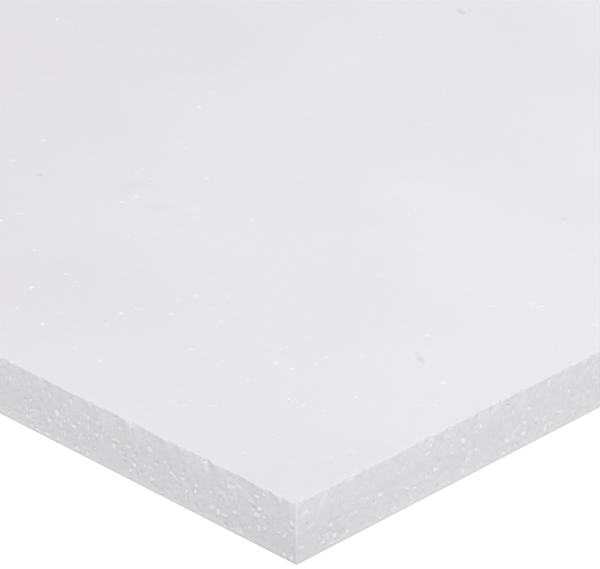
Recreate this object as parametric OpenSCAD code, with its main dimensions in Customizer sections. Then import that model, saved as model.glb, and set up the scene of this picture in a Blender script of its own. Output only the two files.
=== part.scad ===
// Expanded polystyrene foam board: one slab of fused beads, cut square and lying flat.
// Millimetres. The origin is the middle of the underside, +Z is up through the thickness,
// and the near corner is the one at the lowest X and the lowest Y.

/* [Board] */
// Length of the board, along X
board_length = 500; // [420:5:1200]
// Width of the board, along Y
board_width = 500; // [420:5:1200]
// Thickness of the board, along Z
board_thickness = 25; // [10:1:100]

/* [Arrises] */
// Radius of the worn rounding on all twelve arrises
arris_radius = 0.3; // [0.2:0.1:2]

/* [Dents] */
// Width of a dent across the upper face
dent_width = 4; // [2:0.5:8]
// Depth of a dent at its middle
dent_depth = 0.25; // [0.1:0.05:0.8]

/* [Lost beads] */
// Diameter of one expanded bead, and so of the nick that a lost bead leaves
bead_diameter = 4; // [3.5:0.25:6]
// Depth of the shallowest nick in an upper arris, across the upper face
nick_depth_min = 0.7; // [0.5:0.05:1]
// Depth of the deepest nick in an upper arris, across the upper face
nick_depth_max = 1.5; // [1:0.05:1.75]
// Mean distance from one nick to the next along an arris
nick_pitch = 32; // [12:1:120]
// Length of plain arris that is left at each corner
nick_clear_length = 10; // [6:1:40]

/* [Hidden] */
$fn = 48;

bead_radius = bead_diameter / 2;
// Radius of the ball that is as wide as a dent at the dent's depth
dent_radius = (pow(dent_width / 2, 2) + pow(dent_depth, 2)) / (2 * dent_depth);

// Dents in the upper face: distances along X and along Y from the near corner
dents = [[114, 46], [248, 89], [386, 273], [123, 277]];

// Nicks with set places in the two near arrises, along X and along Y: each is
// [distance from the near corner, share of the way from the shallowest depth to the deepest]
placed_nicks_x = [[14, 0.4], [70, 1], [97, 0.3], [105, 0.2], [146, 0.4]];
placed_nicks_y = [[14, 0.5], [46, 0.7], [50, 0.4], [55, 0.1], [128, 0.3], [137, 0.1]];
// Past this distance from the near corner the nicks are scattered, as on the far arrises
placed_run = 160;

// The golden ratio's multiples, less their whole parts, scatter evenly between 0 and 1
golden_ratio = (1 + sqrt(5)) / 2;
function scatter(i) = i * golden_ratio - floor(i * golden_ratio);

// Nicks scattered along an arris from one distance to another, in the form of the placed ones.
// Each lies somewhere in its own pitch, and the seed gives every arris another scatter.
function scattered_nicks(from, to, seed) =
    let (count = floor((to - from) / nick_pitch))
    [for (i = [0 : count - 1])
        [from + (i + scatter(seed + i)) * nick_pitch, scatter(seed + 3 * i)]];

// A rectangle centred on the origin with its corners rounded
module rounded_rectangle(width, height, radius) {
    square([width - 2 * radius, height], center = true);
    square([width, height - 2 * radius], center = true);
    for (x = [-1, 1], y = [-1, 1])
        translate([x * (width / 2 - radius), y * (height / 2 - radius)])
            circle(radius);
}

// The slab with every arris rounded: what three rounded prisms, one along each axis, share
module slab() {
    translate([0, 0, board_thickness / 2])
        intersection() {
            linear_extrude(board_thickness, center = true)
                rounded_rectangle(board_length, board_width, arris_radius);
            rotate([90, 0, 0])
                linear_extrude(board_width, center = true)
                    rounded_rectangle(board_length, board_thickness, arris_radius);
            rotate([90, 0, 90])
                linear_extrude(board_length, center = true)
                    rounded_rectangle(board_width, board_thickness, arris_radius);
        }
}

// The ball that presses a dent into the upper face, for a point of that face at the origin
module dent() {
    translate([0, 0, dent_radius - dent_depth])
        sphere(dent_radius);
}

// The ball that a lost bead leaves empty in an arris, for an arris along X between faces -Y and +Z.
// Its centre is level with the upper face, so the nick has an upright wall there.
module arris_nick(depth) {
    translate([0, depth - bead_radius, 0])
        sphere(bead_radius);
}

// All the nicks of an upper arris that starts at the origin and runs along +X
module arris_nicks(nicks) {
    for (nick = nicks)
        translate([nick[0], 0, 0])
            arris_nick(nick_depth_min + (nick_depth_max - nick_depth_min) * nick[1]);
}

// The nicks of the four upper arrises: the far ones start at the far corner
module all_nicks() {
    x_end = board_length - nick_clear_length;
    y_end = board_width - nick_clear_length;
    translate([-board_length / 2, -board_width / 2, board_thickness]) {
        arris_nicks(concat(placed_nicks_x, scattered_nicks(placed_run, x_end, seed = 1)));
        mirror([1, -1, 0])
            arris_nicks(concat(placed_nicks_y, scattered_nicks(placed_run, y_end, seed = 2)));
    }
    translate([board_length / 2, board_width / 2, board_thickness])
        rotate([0, 0, 180]) {
            arris_nicks(scattered_nicks(nick_clear_length, x_end, seed = 3));
            mirror([1, -1, 0])
                arris_nicks(scattered_nicks(nick_clear_length, y_end, seed = 4));
        }
}

module board() {
    color("#E9E9EB")
        difference() {
            slab();
            for (place = dents)
                translate([place[0] - board_length / 2, place[1] - board_width / 2, board_thickness])
                    dent();
            all_nicks();
        }
}

board();
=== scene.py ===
# %% [markdown]
# # A polystyrene foam board
#
# The object is one flat slab of white bead foam. Grains of polystyrene are puffed up with steam into
# beads a few millimetres across, the beads are fused into a block, and the block is cut into boards. The
# two wide faces are smooth cuts. The four narrow sides are rougher: there the cut has torn some beads,
# and their skins sparkle.
#
# The solid model fixes the board's size and place, in metres. A finish alone could dress that plain slab,
# but its wear shows in its outline too. So this script builds the surface that is seen in the solid's
# place, with its small relief, gives it its finishes, and sets a camera and soft light round it.

# %% Load the solid board
import math
import random

import bmesh
import bpy
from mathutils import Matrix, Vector, noise
from mathutils.bvhtree import BVHTree


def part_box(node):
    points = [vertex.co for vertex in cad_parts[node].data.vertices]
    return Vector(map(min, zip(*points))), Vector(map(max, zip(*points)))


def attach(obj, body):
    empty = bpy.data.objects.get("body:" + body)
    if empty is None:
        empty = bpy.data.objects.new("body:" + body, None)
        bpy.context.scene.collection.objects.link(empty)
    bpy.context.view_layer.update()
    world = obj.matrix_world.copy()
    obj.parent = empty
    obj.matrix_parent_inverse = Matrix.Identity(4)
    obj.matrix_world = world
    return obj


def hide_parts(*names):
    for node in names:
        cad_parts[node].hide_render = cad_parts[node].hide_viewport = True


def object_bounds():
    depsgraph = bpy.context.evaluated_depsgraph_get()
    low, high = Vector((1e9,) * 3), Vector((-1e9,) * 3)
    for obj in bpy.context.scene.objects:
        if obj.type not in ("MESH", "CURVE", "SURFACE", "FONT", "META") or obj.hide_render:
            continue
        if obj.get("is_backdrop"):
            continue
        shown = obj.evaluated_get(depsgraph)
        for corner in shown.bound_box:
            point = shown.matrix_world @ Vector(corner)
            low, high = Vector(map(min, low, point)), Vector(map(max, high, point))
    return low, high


MM = 0.001
# Lengths that differ by less than this count as equal
SMALL = 0.01 * MM

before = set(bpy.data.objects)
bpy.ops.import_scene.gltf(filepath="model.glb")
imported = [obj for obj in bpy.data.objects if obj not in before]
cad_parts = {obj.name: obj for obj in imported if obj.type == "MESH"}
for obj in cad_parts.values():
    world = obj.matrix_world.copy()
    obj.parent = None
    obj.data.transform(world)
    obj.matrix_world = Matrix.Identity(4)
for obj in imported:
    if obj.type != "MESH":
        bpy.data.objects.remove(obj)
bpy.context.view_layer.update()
lowest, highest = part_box("board")
size = highest - lowest
middle = (lowest + highest) / 2
print("The solid board measures", [round(side / MM, 1) for side in size], "mm")

# %% [markdown]
# ## The camera
#
# The photograph looks down on one corner with a long lens from over a metre away, so its edges hardly
# converge. A camera could be placed by eye, but here its lens, its two angles and its distance were
# worked out from the four edge lines of the photograph. The near upper corner then has to land on the
# pixel where the photograph shows it, and that gives the camera's place.

# %% Place the camera
PHOTO_WIDTH = 600
PHOTO_HEIGHT = 569
CORNER_PIXEL = Vector((296.4, 505.05))
# The lens and its sensor are in millimetres, as Blender keeps them
SENSOR_WIDTH = 36.0
FOCAL_LENGTH = 214.9
LOOK_ROUND = math.radians(45.26)
LOOK_DOWN = math.radians(26.48)
CORNER_DEPTH = 1.279


def heading(round_angle, down_angle):
    """The direction of a look that starts along +Y, turns towards +X and then dips."""
    level = math.cos(down_angle)
    return Vector((math.sin(round_angle) * level, math.cos(round_angle) * level, -math.sin(down_angle)))


def place_in_scene(name, data, location, looking):
    """Put a camera or a lamp in the scene, looking along a direction with its top side up."""
    thing = bpy.data.objects.new(name, data)
    thing.location = location
    thing.rotation_mode = "QUATERNION"
    thing.rotation_quaternion = looking.to_track_quat("-Z", "Y")
    bpy.context.collection.objects.link(thing)
    return thing


looking = heading(LOOK_ROUND, LOOK_DOWN)
turn = looking.to_track_quat("-Z", "Y")
pixel = CORNER_DEPTH * SENSOR_WIDTH / FOCAL_LENGTH / PHOTO_WIDTH
across = (CORNER_PIXEL.x - PHOTO_WIDTH / 2) * pixel
below = (CORNER_PIXEL.y - PHOTO_HEIGHT / 2) * pixel
near_corner = Vector((lowest.x, lowest.y, highest.z))
viewpoint = near_corner - looking * CORNER_DEPTH - turn @ Vector((across, -below, 0))

camera_data = bpy.data.cameras.new("camera")
camera_data.sensor_width = SENSOR_WIDTH
camera_data.lens = FOCAL_LENGTH
bpy.context.scene.camera = place_in_scene("camera", camera_data, viewpoint, looking)
print("A pixel at the near corner covers", round(pixel / MM, 3), "mm")

# %% [markdown]
# ## Shader sums in Python
#
# A finish is a graph of nodes. Wiring nodes one by one makes long scripts, so this small class wraps a
# socket, and sums written on it in Python add the Math nodes. Any other node comes from its `node`
# method.

# %% Define the socket wrapper
class Wire:
    """An output socket of a node tree. Sums on it add Math nodes."""

    def __init__(self, tree, socket=None):
        self.tree = tree
        self.socket = socket

    def __getitem__(self, name):
        """Another output of the same node."""
        return Wire(self.tree, self.socket.node.outputs[name])

    def node(self, kind, settings=None, sockets=None, output=0):
        """Add a node: first its settings, then the values or links of its sockets."""
        added = self.tree.nodes.new(kind)
        for name, value in (settings or {}).items():
            setattr(added, name, value)
        for name, value in (sockets or {}).items():
            if isinstance(value, Wire):
                self.tree.links.new(value.socket, added.inputs[name])
            else:
                added.inputs[name].default_value = value
        return Wire(self.tree, added.outputs[output] if added.outputs else None)

    def maths(self, operation, *numbers):
        """Add a Math node."""
        return self.node("ShaderNodeMath", {"operation": operation}, dict(enumerate(numbers)))

    def __add__(self, other):
        return self.maths("ADD", self, other)

    def __radd__(self, other):
        return self.maths("ADD", other, self)

    def __sub__(self, other):
        return self.maths("SUBTRACT", self, other)

    def __rsub__(self, other):
        return self.maths("SUBTRACT", other, self)

    def __mul__(self, other):
        return self.maths("MULTIPLY", self, other)

    def __rmul__(self, other):
        return self.maths("MULTIPLY", other, self)

    def ramp(self, low, high):
        """0 below low, 1 above high and a smooth slope between; high may be the lower one."""
        return self.node("ShaderNodeMapRange", {"interpolation_type": "SMOOTHSTEP"},
                         {"Value": self, "From Min": low, "From Max": high})

    def mix(self, colour, other):
        """From one colour to the other as this value goes from 0 to 1."""
        return self.node("ShaderNodeMix", {"data_type": "RGBA"}, {0: self, 6: colour, 7: other}, output=2)


def clear_tree(owner):
    """An empty node tree for a material or a world."""
    owner.use_nodes = True
    owner.node_tree.nodes.clear()
    return Wire(owner.node_tree)


print("Wire adds Math nodes for + - and *")

# %% [markdown]
# ## The sky and the floor
#
# The board is shown on pure white, in soft light that comes evenly from a pale sky and back up from the
# floor. More light would turn the background white, but it would bleach the foam as well. Instead the
# light path tells a ray of the camera from a ray of light: the sky and the floor are plain white to the
# camera, which costs no extra light on the foam, and the floor still darkens where the board shades it.

# %% Build the sky and the floor
WHITE = (1, 1, 1, 1)
SKY_LIGHT = 0.62
FLOOR_COLOUR = (0.6, 0.6, 0.6, 1)
FLOOR_GLOW = 0.55
FLOOR_REACH = 8.0
FLOOR_GAP = 0.05 * MM


def seen_plainly(start):
    """1 for the rays that look at the background: the camera's, and those off gloss or through glass."""
    rays = start.node("ShaderNodeLightPath")
    return rays["Is Camera Ray"] + rays["Is Glossy Ray"] + rays["Is Transmission Ray"]


sky = bpy.data.worlds.new("sky")
bpy.context.scene.world = sky
start = clear_tree(sky)
sky_fill = start.node("ShaderNodeBackground", sockets={"Color": WHITE, "Strength": SKY_LIGHT})
sky_white = start.node("ShaderNodeBackground", sockets={"Color": WHITE, "Strength": 1})
sky_mix = start.node("ShaderNodeMixShader", sockets={0: seen_plainly(start), 1: sky_fill, 2: sky_white})
start.node("ShaderNodeOutputWorld", sockets={"Surface": sky_mix})

floor_mesh = bmesh.new()
bmesh.ops.create_grid(floor_mesh, x_segments=1, y_segments=1, size=FLOOR_REACH)
bmesh.ops.translate(floor_mesh, vec=(0, 0, lowest.z - FLOOR_GAP), verts=floor_mesh.verts)
floor_data = bpy.data.meshes.new("floor")
floor_mesh.to_mesh(floor_data)
floor_mesh.free()
floor = bpy.data.objects.new("floor", floor_data)
bpy.context.collection.objects.link(floor)
floor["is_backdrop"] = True

floor_paper = bpy.data.materials.new("floor_paper")
floor_data.materials.append(floor_paper)
start = clear_tree(floor_paper)
paper = start.node("ShaderNodeBsdfDiffuse", sockets={"Color": FLOOR_COLOUR})
glow = start.node("ShaderNodeEmission", sockets={"Color": WHITE, "Strength": FLOOR_GLOW})
bright_paper = start.node("ShaderNodeAddShader", sockets={0: paper, 1: glow})
paper_mix = start.node("ShaderNodeMixShader", sockets={0: seen_plainly(start), 1: paper, 2: bright_paper})
start.node("ShaderNodeOutputMaterial", sockets={"Surface": paper_mix})
print("A sky of", SKY_LIGHT, "over a floor of", 2 * FLOOR_REACH, "m")

# %% [markdown]
# ## The lamp
#
# The right side of the board is a little lighter than the left one, and hardly a shadow is seen. A small
# lamp would draw a hard shadow, so this one is a wide disk far off at the front right. The Standard view
# shows colours about as they are written.

# %% Hang the lamp
LAMP_ROUND = math.radians(36.7)
LAMP_DOWN = math.radians(47.3)
LAMP_DISTANCE = 12.0
LAMP_WIDTH = 5.0
LAMP_POWER = 580.0

lamp_data = bpy.data.lights.new("soft_lamp", "AREA")
lamp_data.shape = "DISK"
lamp_data.size = LAMP_WIDTH
lamp_data.energy = LAMP_POWER
shining = heading(LAMP_ROUND, LAMP_DOWN)
place_in_scene("soft_lamp", lamp_data, middle - shining * LAMP_DISTANCE, shining)
bpy.context.scene.view_settings.view_transform = "Standard"
print("Lit by one lamp of", LAMP_POWER, "W")

# %% [markdown]
# ## The two wide faces
#
# The mesh could start as a cube, cut up all over, but the fine relief is needed only at the sides. So
# each wide face is a coarse grid, and only its border is cut into the fine columns that the sides need.
# The upper grid starts a little small, and its border is extruded outwards in narrow bands, to leave room
# for the nicks of lost beads.
#
# Two layers of extra data come first, because adding one later would make Python lose the faces that it
# holds: the way that each face looks, and the texture layout.

# %% Lay out the upper face and the underside
EDGE_COLUMNS = 480
UPPER_CELLS = 60
UNDER_CELLS = 30
RIM_BANDS = 3
RIM_STEP = 1.0 * MM
RIM = RIM_BANDS * RIM_STEP

board = bmesh.new()
facing = board.faces.layers.int.new("facing")
layout = board.loops.layers.uv.new("OFBake")


def border_at(height):
    """The open edges of the mesh at one height."""
    return [edge for edge in board.edges if edge.is_boundary and abs(edge.verts[0].co.z - height) < SMALL]


def wide_face(cells, height, rim):
    """A flat grid at a height, a rim narrower than the board, its border cut into columns: its faces."""
    points = bmesh.ops.create_grid(board, x_segments=cells, y_segments=cells, size=0.5)["verts"]
    bmesh.ops.scale(board, vec=(size.x - 2 * rim, size.y - 2 * rim, 1), verts=points)
    bmesh.ops.translate(board, vec=(0, 0, height), verts=points)
    bmesh.ops.bisect_edges(board, edges=border_at(height), cuts=EDGE_COLUMNS // cells - 1)
    return [face for face in board.faces if abs(face.calc_center_median().z - height) < SMALL]


under_face = wide_face(UNDER_CELLS, lowest.z, 0)
upper_face = wide_face(UPPER_CELLS, highest.z, RIM)
for band in range(RIM_BANDS, 0, -1):
    band_made = bmesh.ops.extrude_edge_only(board, edges=border_at(highest.z))["geom"]
    wider_x = 1 + 2 * RIM_STEP / (size.x - 2 * band * RIM_STEP)
    wider_y = 1 + 2 * RIM_STEP / (size.y - 2 * band * RIM_STEP)
    points = [thing for thing in band_made if isinstance(thing, bmesh.types.BMVert)]
    bmesh.ops.scale(board, vec=(wider_x, wider_y, 1), verts=points)
print("Wide faces:", len(upper_face), "cells above and", len(under_face), "below")

# %% [markdown]
# ## The sides and the arrises
#
# Bridging the two borders closes the slab, and cutting the upright edges gives the sides rows about a
# millimetre high. The arrises, the lines where two faces meet, are softened by handling. A Bevel modifier
# could round them at the end, but the next steps work on the rounded mesh, so an operator does it now.

# %% Close the sides and round the arrises
SIDE_ROWS = 24
SHARP_ANGLE = math.radians(45)
ARRIS_RADIUS = 0.3 * MM
ARRIS_SEGMENTS = 2

bmesh.ops.bridge_loops(board, edges=border_at(highest.z) + border_at(lowest.z))
uprights = [edge for edge in board.edges if abs(edge.verts[0].co.z - edge.verts[1].co.z) > size.z / 2]
bmesh.ops.subdivide_edges(board, edges=uprights, cuts=SIDE_ROWS - 1)
bmesh.ops.recalc_face_normals(board, faces=board.faces)
arrises = [edge for edge in board.edges if edge.calc_face_angle(0) > SHARP_ANGLE]
bmesh.ops.bevel(board, geom=arrises, offset=ARRIS_RADIUS, offset_type="OFFSET", affect="EDGES",
                segments=ARRIS_SEGMENTS, profile=0.5, material=-1)
print("Slab of", len(board.faces), "faces, with", len(arrises), "arris edges rounded")

# %% [markdown]
# ## Sort the faces
#
# Later steps treat the wide faces, the sides and the arrises differently. A face could be judged by its
# normal each time, but the relief will turn the normals. So each face is marked now, while everything is
# still flat, with the way that it looks: 0 is up, 1 is down and 2 to 5 are the four sides. New faces made
# later inside a marked face inherit its mark.

# %% Mark each face with the way that it looks
LOOKS = [Vector((0, 0, 1)), Vector((0, 0, -1)), Vector((-1, 0, 0)), Vector((0, -1, 0)), Vector((1, 0, 0)),
         Vector((0, 1, 0))]
UP, DOWN = 0, 1
SIDES = range(DOWN + 1, len(LOOKS))
FLAT_ANGLE = math.radians(1)


def beside(way):
    """The level direction along a side."""
    return LOOKS[UP].cross(LOOKS[way])


board.normal_update()
for face in board.faces:
    face[facing] = max(range(len(LOOKS)), key=lambda way: face.normal.dot(LOOKS[way]))
flat_sides = [face for face in board.faces if face[facing] in SIDES
              and face.normal.dot(LOOKS[face[facing]]) > math.cos(FLAT_ANGLE)]
print("Flat side faces:", len(flat_sides))

# %% [markdown]
# ## Dents
#
# Four shallow dents show in the upper face, each about as wide as a bead. The solid has them in the same
# places. Bump in the finish could fake them, but the mesh itself would stay flat. The upper face's cells
# are too coarse to show a dent, so the cells that hold one are cut finer first, and then their points are
# pressed down along a parabola.

# %% Press the dents into the upper face
# Middles of the dents, in millimetres along X and Y from the near corner
DENTS = [(114, 46), (248, 89), (386, 273), (123, 277)]
DENT_WIDTH = 4 * MM
DENT_DEPTH = 0.25 * MM
DENT_CUTS = 15

dent_middles = [lowest.xy + Vector(dent) * MM for dent in DENTS]
upper_cell = (size.x - 2 * RIM) / UPPER_CELLS


def cell_of(place):
    """The column and row of the upper face's grid that a point is in."""
    return (math.floor((place.x - lowest.x - RIM) / upper_cell),
            math.floor((place.y - lowest.y - RIM) / upper_cell))


def pressed(place):
    """How far the dents press down a point of the upper face."""
    nearest = min((place.xy - dent).length for dent in dent_middles)
    return DENT_DEPTH * max(0.0, 1 - (2 * nearest / DENT_WIDTH) ** 2)


dent_cells = {cell_of(dent + Vector((across, along)) * DENT_WIDTH / 2) for dent in dent_middles
              for across in (-1, 1) for along in (-1, 1)}
round_dents = {(column + across, row + along) for column, row in dent_cells
               for across in (-1, 0, 1) for along in (-1, 0, 1)}
dent_faces = [face for face in upper_face if cell_of(face.calc_center_median()) in dent_cells]
plain_cells = [face for face in upper_face if cell_of(face.calc_center_median()) not in round_dents]
dent_edges = list(dict.fromkeys(edge for face in dent_faces for edge in face.edges))
bmesh.ops.subdivide_edges(board, edges=dent_edges, cuts=DENT_CUTS, use_grid_fill=True)
for vertex in board.verts:
    if highest.z - vertex.co.z < SMALL:
        vertex.co.z -= pressed(vertex.co)
print("Dents in", len(dent_cells), "cells of the upper face")

# %% [markdown]
# ## The cut sides
#
# A cut through bead foam shows each bead as a cell about as wide as the bead, very slightly cushioned,
# with a groove where it meets its neighbours, and the whole cut is a little knobbly. A displacement
# texture could do this at render time, but real points keep the shape in the mesh itself. Blender's
# Voronoi noise gives the distances to the nearest bead middles: the two nearest are equally far at a
# seam. The points are also shaken a little along the side, so that no straight rows show.

# %% Cushion the beads of the sides
BEAD = 3.6 * MM
CUSHION = 0.07 * MM
GROOVE = 0.06 * MM
# In a groove the two nearest bead middles are equally far, to within this share of a bead
GROOVE_SHARE = 0.16
KNOBBLE = 0.22 * MM
SHAKE = 0.34 * MM
CALM_RIM = 2.0 * MM
# How torn the sides are, in their order in LOOKS
TORN = dict(zip(SIDES, (1.0, 0.62, 0.8, 0.8)))
SEED = 25

chance = random.Random(SEED)


def ramp(value, low, high):
    """0 at low, 1 at high and a smooth slope between; high may be the lower one."""
    share = min(1.0, max(0.0, (value - low) / (high - low)))
    return share * share * (3 - 2 * share)


def bead_distances(place):
    """How far the two nearest bead middles are, in beads, the nearer one first."""
    return noise.voronoi(place / BEAD)[0][:2]


def from_arrises(place):
    """How far a point of a side lies from the side's nearest arris."""
    gaps = (size.x / 2 - abs(place.x - middle.x), size.y / 2 - abs(place.y - middle.y))
    return min(max(gaps), place.z - lowest.z, highest.z - place.z)


side_points = {vertex: face[facing] for face in flat_sides for vertex in face.verts}
for vertex, way in side_points.items():
    nearest, second = bead_distances(vertex.co)
    calm = ramp(from_arrises(vertex.co), ARRIS_RADIUS, CALM_RIM)
    depth = CUSHION * nearest ** 2 + GROOVE * ramp(second - nearest, GROOVE_SHARE, 0)
    depth += KNOBBLE * TORN[way] * chance.random()
    shake = beside(way) * chance.uniform(-SHAKE, SHAKE) + Vector((0, 0, chance.uniform(-SHAKE, SHAKE)))
    vertex.co += (shake - LOOKS[way] * depth) * calm
print("Side points cushioned:", len(side_points))

# %% [markdown]
# ## How far the upper arrises are worn
#
# The upper arrises look ragged: whole beads have dropped out, the cut has pulled crumbs out between them,
# and the top of the side leans in a little. The solid has the nicks of the lost beads, and a ray shot at
# it from outside finds how deep it is nicked. The crumbs are smaller, so quick noise along the arris
# makes them, and slow noise makes the lean. Each point could be worn by itself, but then thin faces at
# the arris would fold. So the wear is found once for every column of the mesh, and all points of a column
# share it.

# %% Find the wear of every column
NICK_LEVEL = 0.4 * MM
NICK_SHARE = 0.6
WEAR = 0.6 * MM
WEAR_LENGTH = 9 * MM
# The slow noise swings about this share of the wear
MEAN_WEAR = 0.6
CRUMB_WEAR = 1.35 * MM
CRUMB = 2.4 * MM
# Each side takes a row of the noise of its own, so many units on from the last one's
WEAR_ROW = 7.3
CRUMB_ROW = 5.7
# How quickly the finer layers of a noise fade, how much finer each one is, and how many there are
WEAR_FADING = 0.7
CRUMB_FADING = 0.2
FINER = 2.0
LAYERS = 2

solid_tree = BVHTree.FromObject(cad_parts["board"], bpy.context.evaluated_depsgraph_get())


def layered(place, fading):
    """Noise in layers, each finer and fainter than the one before."""
    return noise.fractal(place, fading, FINER, LAYERS)


def reach(direction):
    """How far the board reaches from its middle along a direction."""
    return abs(size.dot(direction)) / 2


def nick_depth(run, way):
    """How deep the solid is nicked in a side's upper arris, at a distance from the arris's middle."""
    outward = LOOKS[way]
    outside = middle + beside(way) * run + outward * (reach(outward) + RIM)
    outside.z = highest.z - NICK_LEVEL
    distance = solid_tree.ray_cast(outside, -outward)[3]
    return max(0.0, distance - RIM) if distance else 0.0


def column_wear(way, column):
    """How far the top of a side's column goes back: by its nick, by its lean and by its crumbs."""
    run = (2 * column / EDGE_COLUMNS - 1) * reach(beside(way))
    slow = layered(Vector((run / WEAR_LENGTH, WEAR_ROW * way, 0)), WEAR_FADING)
    quick = layered(Vector((run / CRUMB, CRUMB_ROW * way, 0)), CRUMB_FADING)
    nick = NICK_SHARE * nick_depth(run, way)
    return nick, WEAR * max(0.0, MEAN_WEAR + slow), CRUMB_WEAR * max(0.0, quick)


wear = {(way, column): column_wear(way, column) for way in SIDES for column in range(EDGE_COLUMNS + 1)}
nicked = sum(nick > 0 for nick, lean, crumb in wear.values())
print("Columns:", len(wear), "of which nicked:", nicked)

# %% [markdown]
# ## The worn arrises
#
# Now the points go back. The upper face is worn back level, and the side leans in to meet it, deep for
# the lean and shallow for the crumbs. The upright arrises are only chipped a little, and sharper at the
# foot, and the lower arrises stay straight. Cutting the wear out with a second solid would be possible
# too, but it would break up the rows and columns that the next steps use. All of it goes inwards, apart
# from the sharpened foot, so the board doesn't outgrow its solid.

# %% Wear back the arrises
NICK_LEAN = 5 * MM
WEAR_LEAN = 9 * MM
CRUMB_LEAN = 2.2 * MM
WEAR_LIMIT = 2.4 * MM
CHIP = 0.4 * MM
CHIP_REACH = 1.5 * MM
CHIP_LENGTH = 2.2 * MM
CHIP_RANGE = (-0.2, 0.6)
# Each corner takes a row of the noise of its own
CHIP_ROWS = (3.1, 8.3)
# Over which shares of the height an upright arris turns from sharp to worn, and how sharp its foot is
SHARP_FOOT = (0.2, 0.45)
SHARPENED = 0.7


def inside(place, way):
    """How far a point lies inside the plane of a side."""
    return reach(LOOKS[way]) - (place - middle).dot(LOOKS[way])


def from_sides(place):
    """How far a point lies inside each side, nearest side first."""
    return sorted(inside(place, way) for way in SIDES)


def share_along(place, way):
    """Where a point's column meets a side: -1 and 1 are the ends of the side."""
    share = (place - middle).dot(beside(way)) / (reach(beside(way)) - inside(place, way))
    return min(1.0, max(-1.0, share))


def worn_back(place, way):
    """How far a point of the rim or of a side goes back from that side."""
    gap = inside(place, way)
    below = highest.z - place.z
    if gap > RIM or below > WEAR_LEAN:
        return 0.0
    nick, lean, crumb = wear[way, round((share_along(place, way) + 1) / 2 * EDGE_COLUMNS)]
    back = nick * ramp(below, NICK_LEAN, 0) + lean * ramp(below, WEAR_LEAN, 0)
    back += crumb * ramp(below, CRUMB_LEAN, 0)
    return min(back, WEAR_LIMIT) * min(1.0, (RIM - gap) / (RIM - ARRIS_RADIUS))


def chipped(height, to_corner):
    """How far the upright arris at a corner is chipped at a height."""
    row = CHIP_ROWS[0] * to_corner.x + CHIP_ROWS[1] * to_corner.y
    return CHIP * ramp(noise.noise(Vector((height / CHIP_LENGTH, row, 0))), *CHIP_RANGE)


worn = 0
for vertex in board.verts:
    place = vertex.co.copy()
    back, way = max((worn_back(place, way), way) for way in SIDES)
    if back > 0:
        vertex.co -= (LOOKS[way] + beside(way) * share_along(place, way)) * back
        worn += 1
    from_upright = from_sides(place)[1]
    if from_upright < CHIP_REACH and lowest.z + ARRIS_RADIUS < place.z < highest.z - ARRIS_RADIUS:
        to_corner = Vector((math.copysign(1, place.x - middle.x), math.copysign(1, place.y - middle.y), 0))
        risen = ramp((place.z - lowest.z) / size.z, *SHARP_FOOT)
        vertex.co -= to_corner * chipped(place.z, to_corner) * (1 - from_upright / CHIP_REACH) * risen
        if from_upright < ARRIS_RADIUS + SMALL:
            corner = middle + to_corner * size / 2
            sharp = Vector((corner.x, corner.y, vertex.co.z))
            vertex.co += (sharp - vertex.co) * SHARPENED * (1 - risen)
print("Arris points worn back:", worn)

# %% [markdown]
# ## Where bead skins are torn
#
# The sparkle of the sides comes from scraps of bead skin that stand at a slant and catch the light, next
# to small darker pits. They lie in clusters, mostly along the seams, and there are fewer of them towards
# the upper arris. Painted spots would look the same from every side, so real faces are used: a scrap is a
# patch of one to six faces of the side, and a pit is one of one or two. Each face is drawn by lot, and a
# patch grows from it to its neighbours.

# %% Choose the scraps and the pits
SCRAP_SHARE = 0.17
PIT_SHARE = 0.2
SCRAP_SIZES = (1, 2, 3, 3, 4, 6)
PIT_SIZES = (1, 1, 2)
CLUSTER = 10 * MM
CLUSTER_FADING = 1.0
CLUSTER_RANGE = (-0.4, 0.4)
PLAIN_BAND = (2 * MM, 16 * MM)
SEAM_RANGE = (0.5, 0.1)
# How crowded they still are between the clusters, close to the upper arris and off the seams
BARE_CROWD = 0.15
UPPER_CROWD = 0.35
OFF_SEAM_CROWD = 0.35
TEAR_GAP = ARRIS_RADIUS + RIM_STEP / 2


def at_least(least, share):
    """A share from 0 to 1, squeezed in between a least value and 1."""
    return least + (1 - least) * share


def crowd_at(face):
    """How crowded the scraps are at a face: 1 at a seam, well down, in a cluster of the most torn side."""
    place = face.calc_center_median()
    nearest, second = bead_distances(place)
    in_cluster = at_least(BARE_CROWD, ramp(layered(place / CLUSTER, CLUSTER_FADING), *CLUSTER_RANGE))
    low_down = at_least(UPPER_CROWD, ramp(highest.z - place.z, *PLAIN_BAND))
    at_seam = at_least(OFF_SEAM_CROWD, ramp(second - nearest, *SEAM_RANGE))
    return in_cluster * low_down * at_seam * TORN[face[facing]]


def clear_of_arrises(face):
    """Whether a face lies well inside its side."""
    return min(from_arrises(vertex.co) for vertex in face.verts) > TEAR_GAP


def free(face):
    """Whether a face may be torn and touches no patch yet."""
    return face in tearable and not any(vertex in taken for vertex in face.verts)


def grown(face, count):
    """A patch of up to that many free faces, grown from one face to its neighbours."""
    patch = [face]
    for step in range(count - 1):
        neighbours = [other for part in patch for edge in part.edges for other in edge.link_faces]
        choices = [other for other in neighbours if other not in patch and free(other)]
        patch += [chance.choice(choices)] if choices else []
    return patch


tearable = dict.fromkeys(face for face in flat_sides if clear_of_arrises(face))
taken = set()
patches = []
for face in tearable:
    crowd = crowd_at(face)
    draw = chance.random()
    if draw > (SCRAP_SHARE + PIT_SHARE) * crowd or not free(face):
        continue
    is_scrap = draw < SCRAP_SHARE * crowd
    patch = grown(face, chance.choice(SCRAP_SIZES if is_scrap else PIT_SIZES))
    taken.update(vertex for part in patch for vertex in part.verts)
    patches.append((patch, is_scrap))
scrap_count = sum(is_scrap for patch, is_scrap in patches)
print("Scraps of skin:", scrap_count, "and pits:", len(patches) - scrap_count)
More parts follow.
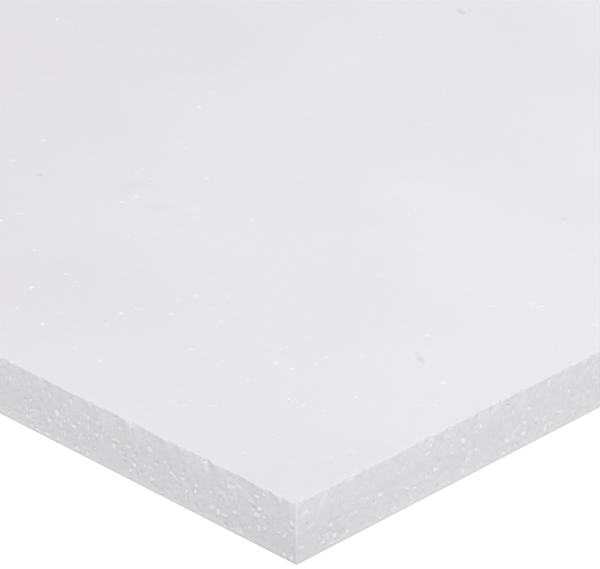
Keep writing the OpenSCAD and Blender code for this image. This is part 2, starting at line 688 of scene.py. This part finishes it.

# %% [markdown]
# ## Torn bead skins
#
# Loose flakes laid on the side would do for the scraps, but the mesh would no longer be closed. Insetting
# keeps it closed: each patch shrinks inside a narrow rim of new faces, and its outline is smoothed. A
# scrap is then tilted to look upwards, gently near the upper arris and more steeply lower down, and a pit
# is sunk.

# %% Tear the scraps and sink the pits
# The third finish is the bead skin, whose whiter colour also serves as painted highlight
PLAIN, ROUGH, SKIN_AND_HIGHLIGHT = 0, 1, 2
SCRAP_RIM = 0.2 * MM
ROUNDING = 0.5
SCRAP_PROUD = 0.2 * MM
RELIEF = 0.4 * MM
# How steeply scraps look up: the least, what the steepest have more, and what being low down adds
LEAST_STEEP = 0.05
MORE_STEEP = 0.38
LOW_STEEP = 0.25
# Drawing by a power makes gentle scraps common and steep ones rare
STEEP_POWER = 2
SIDEWAYS = 0.25
PIT_SLOPE = 0.2
PIT_DEPTH = (0.03 * MM, 0.13 * MM)


def tilt(faces, outward, slope, proud, relief):
    """Turn an inset patch towards a slope, within a relief, its highest point proud by a height at most."""
    points = list(dict.fromkeys(vertex for face in faces for vertex in face.verts))
    centre = sum((vertex.co for vertex in points), Vector()) / len(points)
    heights = [-slope.dot(vertex.co - centre) for vertex in points]
    gentler = min(1.0, relief / max(SMALL, max(heights) - min(heights)))
    sink = max(0.0, max(heights) * gentler - proud)
    for vertex, height in zip(points, heights):
        vertex.co += outward * (height * gentler - sink)


torn = dict.fromkeys(face for patch, is_scrap in patches for face in patch)
bmesh.ops.inset_region(board, faces=list(torn), thickness=SCRAP_RIM,
                       use_even_offset=True, use_boundary=True)
torn_points = list(dict.fromkeys(vertex for face in torn for vertex in face.verts))
bmesh.ops.smooth_vert(board, verts=torn_points, factor=ROUNDING,
                      use_axis_x=True, use_axis_y=True, use_axis_z=True)
for patch, is_scrap in patches:
    way = patch[0][facing]
    if is_scrap:
        low = ramp(highest.z - patch[0].calc_center_median().z, *PLAIN_BAND)
        steep = LEAST_STEEP + (MORE_STEEP + LOW_STEEP * low) * chance.random() ** STEEP_POWER * TORN[way]
        slope = Vector((0, 0, steep)) + beside(way) * chance.uniform(-SIDEWAYS, SIDEWAYS)
        tilt(patch, LOOKS[way], slope, SCRAP_PROUD, RELIEF)
    else:
        up_slope = Vector((0, 0, chance.uniform(-PIT_SLOPE, PIT_SLOPE)))
        slope = up_slope + beside(way) * chance.uniform(-PIT_SLOPE, PIT_SLOPE)
        tilt(patch, LOOKS[way], slope, -chance.uniform(*PIT_DEPTH), RELIEF)
    for face in patch:
        face.material_index = SKIN_AND_HIGHLIGHT if is_scrap else ROUGH
print("Torn faces:", len(torn))

# %% [markdown]
# ## Glints on the wide faces
#
# The smooth faces show a few glints too: single scraps of skin, one to three millimetres wide, in loose
# clusters that are thickest along the side on the left of the photograph. The finish could have white
# dots there, but a glint is lit by its slant. A cell of the coarse grid is inset down to a scrap, moved
# within its cell, inset once more for a rim, and tilted. The first inset stays flat, so the face round
# the scrap stays flat as well. About a third of the glints also take the whiter finish of the bead skin,
# a painted highlight on top of what their slant gives.

# %% Tilt a few scraps in the wide faces
GLINT_WIDTH = (1.2 * MM, 2.7 * MM)
GLINT_SHARE = 0.85
# The share fades along X, over this part of the board's length
GLINT_FADE = 0.2
GLINT_CLUSTER = 25 * MM
GLINT_RANGE = (-0.4, 0.6)
GLINT_SLOPE = (0.1, 0.36)
# Share of glints whitened with the skin's finish, as a painted highlight
GLINT_HIGHLIGHT_SHARE = 0.35
GLINT_RIM = 0.15 * MM
GLINT_PROUD = 0.12 * MM
GLINT_RELIEF = 0.5 * MM
# How far inside its cell the middle of a glint stays, in widths of the widest one
GLINT_MARGIN = 0.7


def glints(cells, cell_width, outward, proud):
    """Scraps of skin in some cells of a wide face."""
    chosen = []
    for face in cells:
        place = face.calc_center_median()
        far = (place.x - lowest.x) / size.x
        crowd = ramp(noise.noise(place / GLINT_CLUSTER), *GLINT_RANGE) * math.exp(-far / GLINT_FADE)
        if chance.random() < GLINT_SHARE * crowd and from_sides(place)[0] > cell_width:
            chosen.append(face)
    widest = GLINT_WIDTH[1]
    bmesh.ops.inset_individual(board, faces=chosen, thickness=cell_width / 2 - widest / 2,
                               use_even_offset=True)
    room = cell_width / 2 - GLINT_MARGIN * widest
    for face in chosen:
        centre = face.calc_center_median()
        shift = Vector((chance.uniform(-room, room), chance.uniform(-room, room), 0))
        for vertex in face.verts:
            shrink = chance.uniform(*GLINT_WIDTH) / widest
            vertex.co = centre + shift + (vertex.co - centre) * shrink
    bmesh.ops.inset_individual(board, faces=chosen, thickness=GLINT_RIM, use_even_offset=True)
    for face in chosen:
        angle = chance.uniform(0, 2 * math.pi)
        slope = Vector((math.cos(angle), math.sin(angle), 0)) * chance.uniform(*GLINT_SLOPE)
        tilt([face], outward, slope, proud, GLINT_RELIEF)
        # The whiter finish is a painted highlight on these glints
        face.material_index = SKIN_AND_HIGHLIGHT if chance.random() < GLINT_HIGHLIGHT_SHARE else PLAIN
    return chosen


upper_glints = glints(plain_cells, upper_cell, LOOKS[UP], GLINT_PROUD)
under_cells = [face for face in under_face if face.is_valid and len(face.verts) == 4]
under_glints = glints(under_cells, size.x / UNDER_CELLS, LOOKS[DOWN], 0)
print("Glints:", len(upper_glints), "above and", len(under_glints), "below")

# %% [markdown]
# ## Unfold the board
#
# A baked texture needs a flat layout of the surface. An automatic unwrap would cut every scrap into an
# island of its own, so the board is unfolded as a box is: the upper face as the biggest square, the
# underside as a smaller one and the four sides as strips above them.

# %% Lay out the texture map
MARGIN = 0.008
UPPER_SQUARE = 0.66
UNDER_SQUARE = 0.30
STRIP_HEIGHT = 0.068


def unfolded(place, way):
    """The place on the texture, from 0 to 1, of a point of a face that looks a way."""
    share_x = (place.x - lowest.x) / size.x
    share_y = (place.y - lowest.y) / size.y
    share_z = (place.z - lowest.z) / size.z
    past_upper = UPPER_SQUARE + 3 * MARGIN
    if way == UP:
        return MARGIN + share_x * UPPER_SQUARE, MARGIN + share_y * UPPER_SQUARE
    if way == DOWN:
        return past_upper + (1 - share_x) * UNDER_SQUARE, MARGIN + share_y * UNDER_SQUARE
    bottom = past_upper + (way - SIDES.start) * (STRIP_HEIGHT + MARGIN)
    run = share_y if LOOKS[way].x else share_x
    return MARGIN + run * (1 - 2 * MARGIN), bottom + share_z * STRIP_HEIGHT


for face in board.faces:
    for loop in face.loops:
        loop[layout].uv = unfolded(loop.vert.co, face[facing])
print("Texture layout made for", len(board.faces), "faces")

# %% [markdown]
# ## The board's object
#
# One way of shading could serve the whole board, but flat facets keep the wide faces and the scraps
# crisp, and smooth shading suits the dents and the soft relief of the sides. So each face says which it
# wants. The wide faces take the plain finish, the sides and arrises the rough one, and the scraps already
# have the finish of bead skin. The same whiter finish paints highlights on the ends of the upright
# arrises and painted glints on a few faces of the rim.

# %% Make the board
# Painted highlights whiten the ends of the upright arrises
ARRIS_HIGHLIGHT_ENDS = 4 * MM
ARRIS_HIGHLIGHT_LENGTH = 3 * MM
ARRIS_HIGHLIGHT_LEVEL = -0.1
# Share of rim faces that get a painted glint in the skin's whiter finish
RIM_GLINT_SHARE = 0.05


def has_arris_highlight(place):
    """Whether a painted highlight whitens the board at a place: on an upright arris, near one of its ends.
    """
    if from_sides(place)[1] >= ARRIS_RADIUS:
        return False
    at_end = min(place.z - lowest.z, highest.z - place.z) < ARRIS_HIGHLIGHT_ENDS
    return at_end and noise.noise(place / ARRIS_HIGHLIGHT_LENGTH) > ARRIS_HIGHLIGHT_LEVEL


# The bevel makes its faces in no fixed order, so those of the rim are sorted before lots are drawn
looking_up = [face for face in board.faces if face[facing] == UP]
rim = [face for face in looking_up if from_sides(face.calc_center_median())[0] < RIM]
rim.sort(key=lambda face: tuple(face.calc_center_median()))
# Painted glints: a few flat rim faces are whitened, with no relief of their own
painted_rim_glints = {face for face in rim if chance.random() < RIM_GLINT_SHARE}
for face in board.faces:
    place = face.calc_center_median()
    is_side = face[facing] in SIDES
    # Painted highlights and painted glints: these faces take the skin's whiter finish
    if face in painted_rim_glints or has_arris_highlight(place):
        face.material_index = SKIN_AND_HIGHLIGHT
    elif face.material_index != SKIN_AND_HIGHLIGHT:
        face.material_index = ROUGH if is_side else PLAIN
    face.smooth = (is_side and face not in torn) or cell_of(place) in dent_cells
bmesh.ops.recalc_face_normals(board, faces=board.faces)
open_edges = sum(not edge.is_manifold for edge in board.edges)
triangles = sum(len(face.verts) - 2 for face in board.faces)

board_mesh = bpy.data.meshes.new("foam_board")
board.to_mesh(board_mesh)
board.free()
foam_board = bpy.data.objects.new("foam_board", board_mesh)
bpy.context.collection.objects.link(foam_board)
print("The board has", triangles, "triangles and", open_edges, "open edges")

# %% [markdown]
# ## The finish of bead foam
#
# Cut bead foam is matt white with a trace of blue. Up close every bead has a tone of its own, the seams
# between beads are a little darker, and the cut walls of the cells inside the beads give a fine grain. A
# painted picture could show that, but it would blur up close. Here it is all made of Voronoi cells on
# Object coordinates, so it keeps its real scale and stays in place on the board.

# %% Define the foam finish
CELL = 0.32 * MM
# Half the width of a seam, as a share of a bead
SEAM = 0.09
# The mean of a pattern's tones, which run from 0 to 1
MEAN_TONE = 0.5


def new_finish(name):
    """A new material, and the Object coordinates in its node tree."""
    material = bpy.data.materials.new(name)
    return material, clear_tree(material).node("ShaderNodeTexCoord")["Object"]


def voronoi(place, width, feature="F1"):
    """A Voronoi pattern with cells of a real width."""
    return place.node("ShaderNodeTexVoronoi", {"feature": feature}, {"Vector": place, "Scale": 1 / width})


def own_tone(place, width):
    """A tone of its own for each cell of a width, about 0."""
    return voronoi(place, width)["Color"] - MEAN_TONE


def foam_tone(place, bead_tone, seam_tone):
    """The brightness of the foam, 1 but for its beads and seams, and where the seams are."""
    seam = voronoi(place, BEAD, "DISTANCE_TO_EDGE")["Distance"].ramp(SEAM, 0)
    return 1 + own_tone(place, BEAD) * bead_tone - seam * seam_tone, seam


def cell_grain(place, height):
    """The relief of the fine grain, in millimetres."""
    return voronoi(place, CELL)["Distance"] * height


def tinted(colour, tone):
    """A colour made brighter or darker by a tone."""
    return tone.node("ShaderNodeVectorMath", {"operation": "SCALE"}, {0: colour, "Scale": tone})


def finish_foam(colour, grain, roughness, shine, bump):
    """The shader of a foam surface, with its grain as bump."""
    normal = grain.node("ShaderNodeBump", sockets={"Strength": bump, "Distance": MM, "Height": grain})
    surface = grain.node("ShaderNodeBsdfPrincipled", sockets={
        "Base Color": colour, "Roughness": roughness, "Specular IOR Level": shine, "Normal": normal})
    grain.node("ShaderNodeOutputMaterial", sockets={"Surface": surface})


print("Beads of", round(BEAD / MM, 2), "mm, with cells of", round(CELL / MM, 2), "mm")

# %% [markdown]
# ## The smooth cut and its marks
#
# The wide faces are nearly even. Towards one corner they are pinker, and painted shade makes them a
# little darker there. The four dents are darker, drawn out along them: this is painted shade in the
# hollows with a little grey-pink dirt. Two faint smears are handling dirt. The marks could be painted on a
# picture, but each is only an ellipse: a Mapping node moves the coordinates to its middle, turns them and
# scales them, so that the distance from the middle is 1 at its rim.

# %% Make the finish of the wide faces
FACE_BRIGHT = (0.896, 0.898, 0.913, 1)
# The darker, pinker end holds painted shade as well as a pink tint
FACE_SHADED_PINK = (0.845, 0.830, 0.856, 1)
SHADE_AND_PINK_PATCH = 90 * MM
SHADE_AND_PINK_RANGE = (-0.5, 0.5)
FACE_GRAIN = 0.02
# Grey-pink of the marks: painted shade with a little dirt in the dents, and dirt in the smears
SHADE_AND_DIRT_COLOUR = (0.72, 0.69, 0.72, 1)
MARK_HEIGHT = 3 * MM
# Where a mark begins and where it is full, as shares of the way out to its rim
MARK_RANGE = (1.0, 0.2)
# Middle of a mark from the near corner, half its length and width, all in millimetres, its turn in
# degrees, and how much of the mark's colour it takes on
MARKS = [
    (DENTS[0], (7.0, 1.9), 61, 0.5),
    (DENTS[1], (4.6, 2.0), 48, 0.38),
    (DENTS[2], (4.8, 2.4), 62, 0.8),
    (DENTS[3], (3.6, 2.0), 60, 0.55),
    ((143, 239), (11, 6), -40, 0.16),
    ((136, 217), (10, 6), -35, 0.16),
]


def from_centre(place, centre, half_sizes, turned=0.0):
    """How far a point is from the centre of an ellipse that lies turned on the board: 1 at its rim."""
    centred = place.node("ShaderNodeMapping", {"vector_type": "TEXTURE"}, {
        "Vector": place, "Location": centre, "Rotation": (0, 0, turned), "Scale": half_sizes})
    return place.node("ShaderNodeVectorMath", {"operation": "LENGTH"}, {0: centred}, output="Value")


plain_cut, place = new_finish("plain_cut")
axes = place.node("ShaderNodeSeparateXYZ", sockets={0: place})
cloudy = place.node("ShaderNodeTexNoise", sockets={"Vector": place, "Scale": 1 / SHADE_AND_PINK_PATCH, "Detail": 1})
# Painted shade: the wide faces grow darker towards one corner, and they are tinted pinker there
shade_and_pink = ((axes["Y"] - axes["X"]) * (1 / size.x) + (cloudy["Fac"] - MEAN_TONE)).ramp(*SHADE_AND_PINK_RANGE)
tone, seam = foam_tone(place, bead_tone=0.012, seam_tone=0.008)
colour = tinted(shade_and_pink.mix(FACE_BRIGHT, FACE_SHADED_PINK), tone)
# The four dent marks are painted shade in the hollows with a little dirt; the last two marks are smears of
# handling dirt
for (x, y), (half_length, half_width), turned, strength in MARKS:
    centre = (lowest.x + x * MM, lowest.y + y * MM, highest.z)
    half_sizes = (half_length * MM, half_width * MM, MARK_HEIGHT)
    mark = from_centre(place, centre, half_sizes, math.radians(turned)).ramp(*MARK_RANGE)
    colour = (mark * strength).mix(colour, SHADE_AND_DIRT_COLOUR)
grain = cell_grain(place, FACE_GRAIN) - seam * FACE_GRAIN
finish_foam(colour, grain, roughness=0.62, shine=0.35, bump=0.3)
print("Plain cut with", len(MARKS), "marks")

# %% [markdown]
# ## The rough cut
#
# The sides have stronger seams and a coarser grain, with small spots that are lighter or darker, and
# painted shade darkens them towards the foot of the near corner. A darker colour all over would miss
# that, so the shaded foot is one more ellipse, with its centre in the corner.

# %% Make the finish of the sides
FOAM_WHITE = (0.866, 0.864, 0.881)
SPOT = 0.9 * MM
SPOT_TONE = 0.04
SIDE_GRAIN = 0.05
FOOT_SHADE_REACH = (60 * MM, 60 * MM, 20 * MM)
FOOT_SHADE_TONE = 0.06

rough_cut, place = new_finish("rough_cut")
tone, seam = foam_tone(place, bead_tone=0.03, seam_tone=0.03)
# Painted shade: the sides grow darker towards the foot of the near corner
painted_foot_shade = from_centre(place, lowest, FOOT_SHADE_REACH).ramp(1, 0)
tone = tone + own_tone(place, SPOT) * SPOT_TONE - painted_foot_shade * FOOT_SHADE_TONE
grain = cell_grain(place, SIDE_GRAIN) - seam * SIDE_GRAIN
finish_foam(tinted(FOAM_WHITE, tone), grain, roughness=0.7, shine=0.35, bump=0.5)
print("Rough cut with a grain of", SIDE_GRAIN, "mm")

# %% [markdown]
# ## The bead skin
#
# The torn scraps show the outside of a bead, which is whiter and smoother than a cut through it, so they
# shine a little. A clear coat over the rough cut could shine too, but skin has no seams, so it gets a
# plain finish of its own. Its white is partly the skin's own tone and partly a painted highlight, for the
# same finish whitens some glints of the wide faces, a few rim faces and the ends of the upright arrises.
# The three finishes go onto the board in the order of their numbers: plain, rough and skin.

# %% Make the finish of the scraps
# The skin's white is partly its own tone and partly a painted highlight
SKIN_AND_HIGHLIGHT_WHITE = (0.93, 0.93, 0.94, 1)
SKIN_GRAIN = 0.02

skin_and_highlight, place = new_finish("skin_and_highlight")
finish_foam(SKIN_AND_HIGHLIGHT_WHITE, cell_grain(place, SKIN_GRAIN), roughness=0.25, shine=0.5, bump=0.2)
for material in (plain_cut, rough_cut, skin_and_highlight):
    board_mesh.materials.append(material)
print("Finishes:", [material.name for material in board_mesh.materials])

# %% [markdown]
# ## Hand over
#
# The dressed board stands for the solid one and lies where it lies. The two boxes are written down, to
# show that the surface hasn't outgrown the solid.

# %% Tie the board to the solid and finish
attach(foam_board, "root")
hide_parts("board")
dressed_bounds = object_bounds()
growth = [round((high - low - side) / MM, 2) for low, high, side in zip(*dressed_bounds, size)]
print("The dressed board is larger by", growth, "mm")
